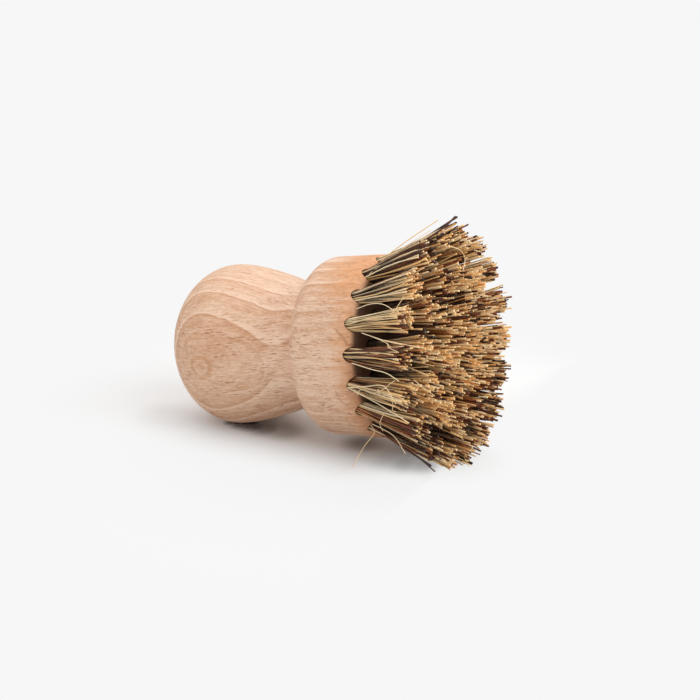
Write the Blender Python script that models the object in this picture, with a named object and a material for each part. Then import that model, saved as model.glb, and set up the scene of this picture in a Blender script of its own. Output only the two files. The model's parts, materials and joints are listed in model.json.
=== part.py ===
"""Pot brush: a turned beech handle with fibre tufts, each folded round a wire anchor in its drilled hole.

The brush is modelled along its own turning axis, with z = 0 at the end of the knob and the bristles
towards +z. It is then laid on its side the way it comes to rest, on the knob and on its lowest tuft tips.
"""

import math
import random

import bmesh
import bpy
from mathutils import Matrix, Vector

MM = 0.001

# Turned handle: radii, and places along the axis from the end of the knob
KNOB_RADIUS = 22.3 * MM
KNOB_DEPTH = 17.4 * MM
KNOB_FULLNESS = 9.2 * MM
NECK_RADIUS = 16.1 * MM
NECK_AT = 43.4 * MM
NECK_PULL = 1.8 * MM
NECK_FILLET = 1.0 * MM
SHOULDER_DEPTH = 5.9 * MM
HEAD_RADIUS = 25.0 * MM
HEAD_FLARE = 0.5 * MM
HEAD_LENGTH = 22.9 * MM
RIM_ROUND = 4.5 * MM

# Drilled holes: rings of six, twelve and eighteen round a middle one
RING_NAMES = ("centre", "inner", "middle", "outer")
HOLES_PER_RING_STEP = 6
HOLE_RADIUS = 2.2 * MM
HOLE_DEPTH = 10.0 * MM
OUTER_MOUTH_ANGLE = math.radians(39)
OUTER_SPLAY = math.radians(19)
RING_TURNS = (0.0, math.radians(30), math.radians(15), 0.0)
DRILLING_TURN = math.radians(-3)

# Fibre tufts
TUFT_LENGTH = 20.0 * MM
TUFT_CROWN = 1.2 * MM
TUFT_TIP_RADIUS = 4.4 * MM
ROOT_BELOW_MOUTH = 1.0 * MM
FOLD_THICKNESS = 1.2 * MM
RIM_STRAND_SHARE = 0.44
STRAND_GAP = 0.24 * MM
STRAND_FLARE = 2.2
TRIM_RAGGEDNESS = 0.8 * MM
TIP_WANDER = 0.15 * MM
FLOOR_PRESS = 0.5 * MM

# Flat wire anchors that the tufts are folded round
ANCHOR_THICKNESS = 0.5 * MM
ANCHOR_HEIGHT = 1.6 * MM
ANCHOR_BITE = 0.8 * MM

# Free space between pieces that touch
FIT_GAP = 0.3 * MM

# How finely the turned outline and the round holes are cut up
HANDLE_FACETS = 56
KNOB_STEPS = 9
WAIST_STEPS = 8
FILLET_STEPS = 2
SHOULDER_STEPS = 6
RIM_STEPS = 5
HOLE_SIDES = 8
ROOT_SIDES = 6
SHARP_EDGE = math.radians(30)
CUTTER_OVERRUN = 6.0 * MM
WELD = 0.001 * MM

# Halvings that find the lying angle, starting from the steepest that is possible
TILT_HALVINGS = 40
STEEPEST_TILT = math.radians(45)

OUTER_RING = len(RING_NAMES) - 1
SHOULDER_RADIUS = HEAD_RADIUS - HEAD_FLARE
HEAD_FRONT = NECK_AT + HEAD_LENGTH + NECK_FILLET
ROOT_RADIUS = HOLE_RADIUS - FIT_GAP
ROOT_BOTTOM = -HOLE_DEPTH + FIT_GAP
ROOT_TOP = -ROOT_BELOW_MOUTH
ANCHOR_AT = ROOT_BOTTOM + FOLD_THICKNESS + FIT_GAP + ANCHOR_HEIGHT / 2
ANCHOR_HALF_LENGTH = HOLE_RADIUS + ANCHOR_BITE


def clear_scene():
    for leftover in list(bpy.data.objects):
        bpy.data.objects.remove(leftover)


def make_material(name, colour, roughness, metallic=0.0):
    material = bpy.data.materials.new(name)
    material.use_nodes = True
    shader = material.node_tree.nodes["Principled BSDF"]
    shader.inputs["Base Color"].default_value = (*colour, 1.0)
    shader.inputs["Roughness"].default_value = roughness
    shader.inputs["Metallic"].default_value = metallic
    return material


def quarter_turn(steps):
    """Angles from 0 to 90 degrees, both included."""
    return [math.pi / 2 * step / steps for step in range(steps + 1)]


def knob_outline():
    """Ellipse from the pole of the knob to its widest ring, as (radius, along) points."""
    return [
        (KNOB_RADIUS * math.sin(angle), KNOB_DEPTH * (1 - math.cos(angle)))
        for angle in quarter_turn(KNOB_STEPS)
    ]


def waist_outline():
    """One cubic curve from the widest ring of the knob down to the neck."""
    widest = Vector((KNOB_RADIUS, KNOB_DEPTH))
    full = Vector((KNOB_RADIUS, KNOB_DEPTH + KNOB_FULLNESS))
    pulled = Vector((NECK_RADIUS, NECK_AT - NECK_PULL))
    neck = Vector((NECK_RADIUS, NECK_AT))
    points = []
    for step in range(WAIST_STEPS):
        t = (step + 1) / WAIST_STEPS
        point = (
            widest * (1 - t) ** 3
            + full * 3 * (1 - t) ** 2 * t
            + pulled * 3 * (1 - t) * t**2
            + neck * t**3
        )
        points.append(tuple(point))
    return points


def head_outline():
    """Small fillet at the neck, quarter-ellipse shoulder, slight flare and rounded rim up to the flat face."""
    fillet = [
        (NECK_RADIUS + NECK_FILLET * (1 - math.cos(angle)), NECK_AT + NECK_FILLET * math.sin(angle))
        for angle in quarter_turn(FILLET_STEPS)[1:]
    ]
    start_radius, start = fillet[-1]
    shoulder = [
        (
            start_radius + (SHOULDER_RADIUS - start_radius) * math.sin(angle),
            start + SHOULDER_DEPTH * (1 - math.cos(angle)),
        )
        for angle in quarter_turn(SHOULDER_STEPS)[1:]
    ]
    rim = [
        (
            HEAD_RADIUS - RIM_ROUND * (1 - math.cos(angle)),
            HEAD_FRONT - RIM_ROUND * (1 - math.sin(angle)),
        )
        for angle in quarter_turn(RIM_STEPS)
    ]
    return fillet + shoulder + rim


def handle_outline():
    return knob_outline() + waist_outline() + head_outline()


def ring_share(ring):
    """0 for the middle hole, 1 for the outer ring."""
    return ring / OUTER_RING


def hole_count(ring):
    return max(1, ring * HOLES_PER_RING_STEP)


def tuft_length(ring):
    """From the hole's mouth to the trimmed tips, which form a slight crown."""
    return TUFT_LENGTH + TUFT_CROWN * (1 - ring_share(ring))


def outer_mouth():
    """(radius, along) of the outer holes' mouths, which open on the rounded rim."""
    return (
        HEAD_RADIUS - RIM_ROUND + RIM_ROUND * math.sin(OUTER_MOUTH_ANGLE),
        HEAD_FRONT - RIM_ROUND + RIM_ROUND * math.cos(OUTER_MOUTH_ANGLE),
    )


def seat_matrix(ring, index):
    """Frame of one hole: origin at its mouth, +z out along the hole, +x away from the brush's axis."""
    mouth_radius, mouth_along = outer_mouth()
    if ring < OUTER_RING:
        mouth_radius, mouth_along = mouth_radius * ring_share(ring), HEAD_FRONT
    turn = DRILLING_TURN + RING_TURNS[ring] + math.tau * index / hole_count(ring)
    return (
        Matrix.Rotation(turn, 4, "Z")
        @ Matrix.Translation((mouth_radius, 0, mouth_along))
        @ Matrix.Rotation(OUTER_SPLAY * ring_share(ring), 4, "Y")
    )


def seats():
    """(ring, number, frame) of every hole, from the middle outwards."""
    for ring in range(len(RING_NAMES)):
        for index in range(hole_count(ring)):
            yield ring, index + 1, seat_matrix(ring, index)


def seat_name(piece, ring, number):
    if ring == 0:
        return f"{piece}_{RING_NAMES[ring]}"
    return f"{piece}_{RING_NAMES[ring]}_{number:02d}"


def outer_tip():
    """(radius, along) of the outermost tuft tips."""
    tip = seat_matrix(OUTER_RING, 0) @ Vector((TUFT_TIP_RADIUS, 0, tuft_length(OUTER_RING)))
    return Vector((tip.x, tip.y)).length, tip.z


def knob_reach(tilt):
    """How far the knob reaches below the end of the axis when the bristle end is raised by tilt."""
    behind_neck = [point for point in handle_outline() if point[1] < NECK_AT]
    return max(r * math.cos(tilt) - along * math.sin(tilt) for r, along in behind_neck)


def lying_tilt():
    """Angle that the axis rises by when the brush lies on its knob and its slightly pressed tuft tips."""
    tip_radius, tip_along = outer_tip()
    low, high = 0.0, STEEPEST_TILT
    for _ in range(TILT_HALVINGS):
        tilt = (low + high) / 2
        tip_reach = tip_radius * math.cos(tilt) - tip_along * math.sin(tilt)
        if tip_reach - FLOOR_PRESS > knob_reach(tilt):
            low = tilt
        else:
            high = tilt
    return tilt


def object_from(bm, name, material, parent, matrix=None):
    """Closes a bmesh into a named object under parent."""
    bmesh.ops.recalc_face_normals(bm, faces=bm.faces)
    mesh = bpy.data.meshes.new(name)
    bm.to_mesh(mesh)
    bm.free()
    mesh.materials.append(material)
    made = bpy.data.objects.new(name, mesh)
    bpy.context.scene.collection.objects.link(made)
    made.parent = parent
    if matrix is not None:
        made.matrix_local = matrix
    return made


def turned_body():
    """The handle's outline spun round the axis, closed by its flat front face."""
    bm = bmesh.new()
    outline = [bm.verts.new((radius, 0, along)) for radius, along in handle_outline()]
    edges = [bm.edges.new(pair) for pair in zip(outline, outline[1:])]
    bmesh.ops.spin(
        bm,
        geom=outline + edges,
        cent=(0, 0, 0),
        axis=(0, 0, 1),
        dvec=(0, 0, 0),
        angle=math.tau,
        steps=HANDLE_FACETS,
        use_merge=True,
    )
    bmesh.ops.remove_doubles(bm, verts=bm.verts, dist=WELD)
    open_edges = [edge for edge in bm.edges if edge.is_boundary]
    bmesh.ops.holes_fill(bm, edges=open_edges, sides=HANDLE_FACETS)
    return bm


def prism(bm, sides, corner_radius, bottom, top):
    """Upright prism with flats that face +x and -x. Returns its top and those two flats."""
    flat_at_x = Matrix.Rotation(math.pi / sides - math.pi / 2, 4, "Z")
    base = bmesh.ops.create_circle(
        bm,
        cap_ends=True,
        segments=sides,
        radius=corner_radius,
        matrix=Matrix.Translation((0, 0, bottom)) @ flat_at_x,
    )["verts"]
    foot = base[0].link_faces[0]
    grown = bmesh.ops.extrude_face_region(bm, geom=[foot], use_keep_orig=True)["geom"]
    raised = [element for element in grown if isinstance(element, bmesh.types.BMVert)]
    bmesh.ops.translate(bm, verts=raised, vec=(0, 0, top - bottom))
    head = next(element for element in grown if isinstance(element, bmesh.types.BMFace))
    bm.normal_update()
    walls = {face for vert in raised for face in vert.link_faces} - {head}
    x_flats = sorted(walls, key=lambda face: abs(face.normal.x))[-2:]
    return head, x_flats


def anchor_windows(bm, x_flats, width, height):
    """Marks a width by height window at the anchor's level on both x flats, and returns the two faces."""
    bmesh.ops.inset_individual(bm, faces=x_flats, thickness=FIT_GAP)
    for face in x_flats:
        middle = face.calc_center_median().z
        for vert in face.verts:
            vert.co.y = math.copysign(width / 2, vert.co.y)
            vert.co.z = ANCHOR_AT + math.copysign(height / 2, vert.co.z - middle)
    return x_flats


def hole_cutter_mesh(bm, matrix):
    """One hole with the two side pockets that the anchor bites into."""
    hole = bmesh.new()
    corner_radius = HOLE_RADIUS / math.cos(math.pi / HOLE_SIDES)
    _, x_flats = prism(hole, HOLE_SIDES, corner_radius, -HOLE_DEPTH, CUTTER_OVERRUN)
    windows = anchor_windows(
        hole, x_flats, ANCHOR_THICKNESS + 2 * FIT_GAP, ANCHOR_HEIGHT + 2 * FIT_GAP
    )
    push_out(hole, windows, ANCHOR_HALF_LENGTH + FIT_GAP)
    bmesh.ops.recalc_face_normals(hole, faces=hole.faces)
    hole.transform(matrix)
    held = bpy.data.meshes.new("hole")
    hole.to_mesh(held)
    hole.free()
    bm.from_mesh(held)
    bpy.data.meshes.remove(held)


def push_out(bm, windows, reach):
    """Extrudes both windows until they lie reach from the hole's axis."""
    for face in bmesh.ops.extrude_discrete_faces(bm, faces=windows)["faces"]:
        for vert in face.verts:
            vert.co.x = math.copysign(reach, vert.co.x)


def open_slot(bm, windows):
    """Joins the two windows into a slot right through the root."""
    rims = [edge for face in windows for edge in face.edges]
    bmesh.ops.delete(bm, geom=windows, context="FACES_ONLY")
    bmesh.ops.bridge_loops(bm, edges=rims)


def strand_cells(bm, top):
    """Splits a root's top face into a rim of four-sided cells round a fan of three-sided ones."""
    depth = RIM_STRAND_SHARE * ROOT_RADIUS
    rim = bmesh.ops.inset_individual(bm, faces=[top], thickness=depth, use_even_offset=True)["faces"]
    fan = bmesh.ops.poke(bm, faces=[top])["faces"]
    return rim + fan


def height_over_floor(point, tilt):
    """Height of a point of the brush's own frame over the floor that it lies on."""
    return knob_reach(tilt) - point.x * math.cos(tilt) + point.z * math.sin(tilt)


def lift_off_floor(vert, matrix, tilt):
    """Moves a tip that would be under the floor straight up to it."""
    point = matrix @ vert.co
    height = height_over_floor(point, tilt)
    if height < 0:
        point += Vector((-math.cos(tilt), 0, math.sin(tilt))) * -height
        vert.co = matrix.inverted() @ point


def grow_strands(bm, cells, length, matrix, tilt, chance):
    """Draws each cell out to a flared strand that fans away from the middle of the tuft."""
    bmesh.ops.inset_individual(bm, faces=cells, thickness=STRAND_GAP / 2, use_even_offset=True)
    widest = max(vert.co.x for face in cells for vert in face.verts)
    outermost = max(face.calc_center_median().x for face in cells)
    own_reach = (widest - outermost) * STRAND_FLARE
    fan = (TUFT_TIP_RADIUS - own_reach) / outermost
    for face in bmesh.ops.extrude_discrete_faces(bm, faces=cells)["faces"]:
        middle = face.calc_center_median()
        tip = middle * fan
        tip.x += chance.uniform(-TIP_WANDER, TIP_WANDER)
        tip.y += chance.uniform(-TIP_WANDER, TIP_WANDER)
        tip.z = length + chance.uniform(-TRIM_RAGGEDNESS, TRIM_RAGGEDNESS)
        for vert in face.verts:
            offset = (vert.co - middle) * STRAND_FLARE
            vert.co = tip + offset
            lift_off_floor(vert, matrix, tilt)


def make_tuft(ring, number, matrix, tilt, material, parent):
    """One tuft: its folded root in the hole and its strands. Inner roots hold their anchor in one piece."""
    bm = bmesh.new()
    top, x_flats = prism(bm, ROOT_SIDES, ROOT_RADIUS, ROOT_BOTTOM, ROOT_TOP)
    if ring == OUTER_RING:
        width = ANCHOR_THICKNESS + 2 * FIT_GAP
        height = ANCHOR_HEIGHT + 2 * FIT_GAP
        open_slot(bm, anchor_windows(bm, x_flats, width, height))
    else:
        windows = anchor_windows(bm, x_flats, ANCHOR_THICKNESS, ANCHOR_HEIGHT)
        push_out(bm, windows, ANCHOR_HALF_LENGTH)
    name = seat_name("tuft", ring, number)
    grow_strands(bm, strand_cells(bm, top), tuft_length(ring), matrix, tilt, random.Random(name))
    return object_from(bm, name, material, parent, matrix)


def make_anchor(ring, number, matrix, material, parent):
    """Flat wire strip across a hole, biting into the wood on both sides."""
    bm = bmesh.new()
    size = Matrix.Diagonal((2 * ANCHOR_HALF_LENGTH, ANCHOR_THICKNESS, ANCHOR_HEIGHT, 1))
    place = Matrix.Translation((0, 0, ANCHOR_AT))
    bmesh.ops.create_cube(bm, size=1.0, matrix=place @ size)
    return object_from(bm, seat_name("anchor", ring, number), material, parent, matrix)


def make_handle(material, parent):
    """Turned handle with a blind drilled hole for every tuft."""
    handle = object_from(turned_body(), "handle", material, parent)
    holes = bmesh.new()
    for _, _, matrix in seats():
        hole_cutter_mesh(holes, matrix)
    cutter = object_from(holes, "hole_cutter", material, parent)
    cutter.hide_render = True
    cutter.display_type = "WIRE"
    drill = handle.modifiers.new("drilled_holes", "BOOLEAN")
    drill.operation = "DIFFERENCE"
    drill.object = cutter
    handle.data.shade_smooth()
    handle.data.set_sharp_from_angle(angle=SHARP_EDGE)
    return handle


def lay_down(frame, tilt, pieces):
    """Turns the whole brush on its side, with the origin in the middle of its footprint on the floor."""
    frame.matrix_world = Matrix.Rotation(math.pi / 2 - tilt, 4, "Y")
    bpy.context.view_layer.update()
    points = [
        piece.matrix_world @ vert.co for piece in pieces for vert in piece.data.vertices
    ]
    low = [min(point[axis] for point in points) for axis in range(3)]
    high = [max(point[axis] for point in points) for axis in range(3)]
    middle = Vector(((low[0] + high[0]) / 2, (low[1] + high[1]) / 2, low[2]))
    frame.matrix_world = Matrix.Translation(-middle) @ frame.matrix_world


def main():
    clear_scene()
    beech = make_material("beech", (0.66, 0.42, 0.27), 0.6)
    fibre = make_material("fibre", (0.45, 0.30, 0.14), 0.7)
    wire = make_material("anchor_wire", (0.55, 0.55, 0.53), 0.35, 1.0)
    frame = bpy.data.objects.new("brush_axis", None)
    bpy.context.scene.collection.objects.link(frame)
    tilt = lying_tilt()
    pieces = [make_handle(beech, frame)]
    for ring, number, matrix in seats():
        pieces.append(make_tuft(ring, number, matrix, tilt, fibre, frame))
        if ring == OUTER_RING:
            pieces.append(make_anchor(ring, number, matrix, wire, frame))
    lay_down(frame, tilt, pieces)


main()
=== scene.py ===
"""Looks of the pot brush: turned beech handle and plant-fibre tufts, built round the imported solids.

Lengths are metres. The brush is worked out in its own frame, with z along its turning axis from the
end of the knob to the bristles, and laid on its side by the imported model's own axis.
"""

import collections
import functools
import json
import math
import random

import bmesh
import bpy
from mathutils import Matrix, Vector


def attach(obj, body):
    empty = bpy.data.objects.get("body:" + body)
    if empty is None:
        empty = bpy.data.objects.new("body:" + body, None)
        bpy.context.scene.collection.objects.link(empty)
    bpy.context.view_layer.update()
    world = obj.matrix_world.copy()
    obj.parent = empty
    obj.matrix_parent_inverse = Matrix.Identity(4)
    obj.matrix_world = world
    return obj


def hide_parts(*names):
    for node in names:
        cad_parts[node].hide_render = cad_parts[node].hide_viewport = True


bl_info = {
    "name": "Pot brush",
    "version": (1, 0, 0),
    "blender": (4, 5, 0),
    "location": "3D View > Sidebar > Pot brush",
    "description": "Turned beech pot brush with plant-fibre tufts",
    "category": "Object",
}

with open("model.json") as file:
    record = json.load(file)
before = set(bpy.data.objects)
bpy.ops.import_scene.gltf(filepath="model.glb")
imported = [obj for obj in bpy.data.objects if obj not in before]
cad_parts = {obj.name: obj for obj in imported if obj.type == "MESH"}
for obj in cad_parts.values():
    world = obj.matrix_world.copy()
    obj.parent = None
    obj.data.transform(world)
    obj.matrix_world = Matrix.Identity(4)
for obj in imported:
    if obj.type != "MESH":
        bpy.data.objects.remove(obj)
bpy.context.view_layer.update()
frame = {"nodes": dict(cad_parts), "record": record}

MM = 0.001
RING_NAMES = ("centre", "inner", "middle", "outer")
RING_TURNS = (0.0, math.radians(30), math.radians(15), 0.0)
HOLES_PER_RING_STEP = 6
OUTER_RING = len(RING_NAMES) - 1


def length(name, description, millimetres):
    """Length whose default is given in millimetres."""
    return bpy.props.FloatProperty(
        name=name, description=description, default=millimetres * MM, min=0.0, precision=4,
        unit="LENGTH", subtype="DISTANCE",
    )


def angle(name, description, degrees):
    """Angle whose default is given in degrees."""
    return bpy.props.FloatProperty(
        name=name, description=description, default=math.radians(degrees), unit="ROTATION", subtype="ANGLE"
    )


def colour(name, description, red, green, blue):
    """Colour whose default is given as display values from 0 to 255."""
    linear = [((value / 255 + 0.055) / 1.055) ** 2.4 for value in (red, green, blue)]
    return bpy.props.FloatVectorProperty(
        name=name, description=description, default=linear, size=3, min=0.0, max=1.0, subtype="COLOR"
    )


def share(name, description, default):
    """Share of a whole, from 0 to 1."""
    return bpy.props.FloatProperty(
        name=name, description=description, default=default, min=0.0, max=1.0, subtype="FACTOR"
    )


def amount(name, description, default):
    """Plain number of at least 0, such as a lamp's strength."""
    return bpy.props.FloatProperty(name=name, description=description, default=default, min=0.0)


class PotBrushHandle(bpy.types.PropertyGroup):
    """Sizes and colours of the turned handle."""

    knob_radius: length("Knob radius", "Widest radius of the palm knob", 22.3)
    knob_depth: length("Knob depth", "From the end of the knob to its widest ring", 17.4)
    knob_fullness: length("Knob fullness", "How far the knob stays wide before it draws in", 9.2)
    neck_radius: length("Neck radius", "Narrowest radius, where the waist meets the head", 16.1)
    neck_at: length("Neck place", "From the end of the knob to the neck", 43.4)
    neck_pull: length("Neck straightness", "How far before the neck the waist runs straight", 1.8)
    neck_fillet: length("Neck fillet", "Fillet between the waist and the head's back", 1.0)
    shoulder_depth: length("Shoulder depth", "Length of the head's rounded shoulder", 5.9)
    head_flare: length("Head flare", "How much the head widens from its shoulder to its rim", 0.5)
    head_radius: length("Head radius", "Radius of the head at its rim", 25.0)
    head_length: length("Head length", "From the neck fillet to the flat face", 22.9)
    rim_round: length("Rim rounding", "Radius of the head's rounded front edge", 4.5)
    early_wood: colour("Early wood", "Pale wood between the growth rings", 242, 210, 184)
    late_wood: colour("Late wood", "Darker wood at each growth ring", 204, 153, 117)
    warm_wood: colour("Warm wood", "Warmer tint of the knob", 216, 160, 114)
    rim_wood: colour("Rim wood", "Orange-brown tint towards the head's rim", 224, 160, 108)
    # Painted shade for the drilled face and the rim's edge, which lie in the shade of the tufts
    shaded_wood: colour("Drilled face", "Wood between the drilled holes", 68, 38, 19)
    ray_fleck: colour("Ray fleck", "Short dark dashes along the grain", 160, 97, 64)


class PotBrushBristles(bpy.types.PropertyGroup):
    """Sizes and colours of the drilled holes and the fibre tufts."""

    hole_radius: length("Hole radius", "Radius of each drilled hole", 2.2)
    hole_depth: length("Hole depth", "Depth of each drilled hole", 10.0)
    fit_gap: length("Fit gap", "Free space between a tuft and its hole", 0.3)
    mouth_angle: angle("Outer mouth angle", "Where on the rounded rim the outer holes open", 39)
    splay: angle("Outer splay", "Lean of the outer tufts away from the axis", 19)
    drilling_turn: angle("Drilling turn", "Turn of all rings round the axis", -3)
    tuft_length: length("Tuft length", "From a hole's mouth to the trimmed tips", 20.0)
    tip_radius: length("Tuft tip radius", "Radius of one tuft at its tips", 4.4)
    inner_tip_radius: length("Inner tip radius", "Radius at the tips of a tuft inside the outer ring", 5.2)
    fibres: bpy.props.IntProperty(
        name="Fibres", description="Number of fibres in each tuft", default=84, min=7, max=200
    )
    straw_radius: length("Straw fibre radius", "Mean radius of the pale fibres", 0.205)
    dark_radius: length("Dark fibre radius", "Mean radius of the dark fibres", 0.215)
    raggedness: length("Trim raggedness", "How unevenly the tips are trimmed", 1.6)
    bow: length("Bow", "Usual sideways bow of a fibre", 0.35)
    crown: length("Trim crown", "How much longer the middle tuft is than the outer ones", 1.2)
    dark_share: share("Dark share", "Share of dark fibres among the loose ones", 0.24)
    stray_share: share("Stray share", "Share of fibres that lean well out of their tuft", 0.2)
    bleached_straw: colour("Bleached straw", "Palest fibres", 255, 232, 190)
    palest_straw: colour("Palest straw", "Pale fibres", 255, 225, 176)
    golden_straw: colour("Golden straw", "Usual straw fibres", 255, 204, 132)
    tan_fibre: colour("Tan fibre", "Tan fibres", 222, 150, 86)
    reddish_fibre: colour("Reddish fibre", "Reddish brown fibres", 136, 72, 40)
    dark_fibre: colour("Dark fibre", "Darkest fibres", 44, 26, 17)
    shaded_fibre: colour("Shaded fibre", "Fibres deep between the tufts", 30, 17, 9)
    anchor_thickness: length("Anchor thickness", "Thickness of the flat wire anchors", 0.5)
    anchor_height: length("Anchor height", "Width of the wire that the anchors are cut from", 1.6)
    anchor_bite: length("Anchor bite", "How far an anchor's ends go into the wood", 0.8)
    fold_thickness: length("Fold thickness", "Fibre that passes under the anchor", 1.2)
    steel: colour("Wire", "Colour of the anchors' wire", 190, 188, 182)


class PotBrushStage(bpy.types.PropertyGroup):
    """Camera, floor and light."""

    azimuth: angle("Camera azimuth", "Turn of the view from straight on towards the bristle end", 27.8)
    elevation: angle("Camera elevation", "Height of the view over level", 21.5)
    distance: length("Camera distance", "From the camera to the middle of the knob", 750)
    aim_right: length("Aim right", "How far right of the knob's middle the view is centred", 30.5)
    aim_down: length("Aim down", "How far under the knob's middle the view is centred", 1.86)
    focal_length: amount("Focal length", "Lens of the camera in millimetres", 136.96)
    backdrop: colour("Backdrop", "White that the floor fades to", 247, 247, 247)
    floor: colour("Floor", "Paper that the brush lies on, where its shadow falls", 233, 233, 233)
    contact: colour("Contact shadow", "Floor right beside where the brush touches it", 58, 37, 24)
    bounce: share("Bounce", "How much of its light the floor throws back on the brush", 0.85)
    fill: amount("Fill light", "Strength of the even light from all round", 0.48)
    key: amount("Key light", "Strength of the soft light from above the far side", 1.32)
    key_softness: angle("Key softness", "How wide the key light looks from the brush", 60)
    front: amount("Front light", "Strength of the soft light from the near left", 0.78)
    front_softness: angle("Front softness", "How wide the front light looks from the brush", 70)
    side: amount("Side light", "Strength of the soft light from the near right", 0.65)
    side_softness: angle("Side softness", "How wide the side light looks from the brush", 60)
    close: amount("Close light", "Power in watts of the soft light close to the tips", 0.052)
    close_size: length("Close light size", "Width of the light close to the tips", 80)
    close_away: length("Close light distance", "From the middle of the tips to the close light", 103)


class Wire:
    """A node's output that takes part in arithmetic: each operator adds its Math node."""

    def __init__(self, finish, socket):
        self.finish = finish
        self.socket = socket

    def maths(self, operation, first, second=0.0):
        """Result of one Math node."""
        return self.finish.add("ShaderNodeMath", {"operation": operation}, {0: first, 1: second})

    def __add__(self, other):
        return self.maths("ADD", self, other)

    def __sub__(self, other):
        return self.maths("SUBTRACT", self, other)

    def __rsub__(self, other):
        return self.maths("SUBTRACT", other, self)

    def __mul__(self, other):
        return self.maths("MULTIPLY", self, other)

    def __abs__(self):
        return self.maths("ABSOLUTE", self)

    __radd__ = __add__

    def fade(self, start, end):
        """0 before start and 1 after end, smooth between them."""
        inputs = {"Value": self, "From Min": start, "From Max": end}
        return self.finish.add("ShaderNodeMapRange", {"interpolation_type": "SMOOTHSTEP"}, inputs)

    def larger(self, other):
        """The greater of the two."""
        return self.maths("MAXIMUM", self, other)


class Finish:
    """A procedural material under construction. Its constants go straight on the shader."""

    def __init__(self, name, constants):
        self.material = bpy.data.materials.new(name)
        self.material.use_nodes = True
        self.tree = self.material.node_tree
        self.shader = self.tree.nodes["Principled BSDF"]
        for socket, value in constants.items():
            self.shader.inputs[socket].default_value = value

    def feed(self, socket, value):
        """Links a Wire to the socket, or sets the socket to a plain value."""
        if isinstance(value, Wire):
            self.tree.links.new(value.socket, socket)
        elif socket.type == "RGBA" and len(value) == 3:
            socket.default_value = (*value, 1.0)
        else:
            socket.default_value = value

    def add(self, kind, settings=(), inputs=(), output=0):
        """Adds one node with its settings and its sockets' values or links, and returns its output."""
        node = self.tree.nodes.new(kind)
        for name, value in dict(settings).items():
            if name == "stops":
                for _ in value[2:]:
                    node.color_ramp.elements.new(0.5)
                for element, (position, tone) in zip(node.color_ramp.elements, value):
                    element.position = position
                    element.color = (*tone, 1.0)
            else:
                setattr(node, name, value)
        for name, value in dict(inputs).items():
            self.feed(node.inputs[name], value)
        return Wire(self, node.outputs[output])

    def mix(self, factor, first, second):
        """Colour that goes from first to second with factor."""
        mix_first, mix_second, mix_result = 6, 7, 2
        inputs = {0: factor, mix_first: first, mix_second: second}
        return self.add("ShaderNodeMix", {"data_type": "RGBA"}, inputs, mix_result)

    def attribute(self, name):
        """Number that the mesh keeps under this name."""
        as_number = 2
        return self.add("ShaderNodeAttribute", {"attribute_name": name}, output=as_number)

    def split(self, place):
        """The three coordinates of a place."""
        node = self.add("ShaderNodeSeparateXYZ", {}, {0: place}).socket.node
        return [Wire(self, node.outputs[axis]) for axis in "XYZ"]

    def divided(self, place, stretch):
        """Place divided by one number for each axis."""
        return self.add("ShaderNodeVectorMath", {"operation": "DIVIDE"}, {0: place, 1: stretch})

    def away_from(self, place, spot):
        """Distance between a place and a fixed spot."""
        as_number = 1
        return self.add("ShaderNodeVectorMath", {"operation": "DISTANCE"}, {0: place, 1: spot}, as_number)

    def noise(self, place, stretch, detail=2.0, roughness=0.5):
        """Noise whose grains are about stretch millimetres long each way, between -0.5 and 0.5."""
        scaled = self.divided(place, stretch)
        inputs = {"Vector": scaled, "Scale": 1.0, "Detail": detail, "Roughness": roughness}
        return self.add("ShaderNodeTexNoise", {}, inputs) - 0.5

    def bump(self, height, depth, strength):
        """Normal of a surface whose relief is about depth metres deep."""
        return self.add("ShaderNodeBump", {}, {"Strength": strength, "Distance": depth, "Height": height})

    def object_place(self):
        """Object coordinates in metres."""
        object_output = 3
        return self.add("ShaderNodeTexCoord", output=object_output)

    def brush_place(self):
        """Object coordinates as millimetres in the brush's own axes: along, sideways, upwards."""
        tilt = math.pi / 2 - BRUSH.to_euler().y
        inputs = {
            "Vector": self.object_place(),
            "Location": BRUSH.translation,
            "Rotation": (0.0, -tilt, 0.0),
            "Scale": (MM, MM, MM),
        }
        return self.add("ShaderNodeMapping", {"vector_type": "TEXTURE"}, inputs)

    def finish(self, sockets):
        """Links what varies over the surface and hands the material over."""
        for socket, value in sockets.items():
            self.feed(self.shader.inputs[socket], value)
        return self.material


def brush_frame():
    """Frame of the lying brush: origin at the end of its knob, +z along its axis to the bristles."""
    axis = Vector(frame["record"]["mounts"][0]["axis"]).normalized()
    corners = (vert.co for vert in frame["nodes"]["handle"].data.vertices)
    pole = min(corners, key=axis.dot)
    return Matrix.Translation(pole) @ Matrix.Rotation(math.pi / 2 - math.asin(axis.z), 4, "Y")


BRUSH = brush_frame()

KNOB_STEPS, WAIST_STEPS, FILLET_STEPS, SHOULDER_STEPS, RIM_STEPS = 28, 28, 4, 16, 14
FLARE_PARTS = (0.25, 0.5, 0.75)
FACE_INSET = 0.2 * MM
HANDLE_FACETS, HOLE_FACETS = 192, 32
DRILL_OVERRUN = 6 * MM
SHARP_WOOD_EDGE = math.radians(35)
WELD = 0.001 * MM


def turn_to(way):
    """Turn that takes +z to this way. A lamp turned so shines from there."""
    return way.to_track_quat("Z", "Y").to_matrix().to_4x4()


def arc(steps):
    """Angles of a quarter turn, both ends included."""
    return [math.pi / 2 * step / steps for step in range(steps + 1)]


def knob_outline(sizes):
    """Quarter of an ellipse, from the end of the knob to its widest ring."""
    return [
        (sizes.knob_radius * math.sin(turn), sizes.knob_depth * (1 - math.cos(turn)))
        for turn in arc(KNOB_STEPS)
    ]


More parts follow.
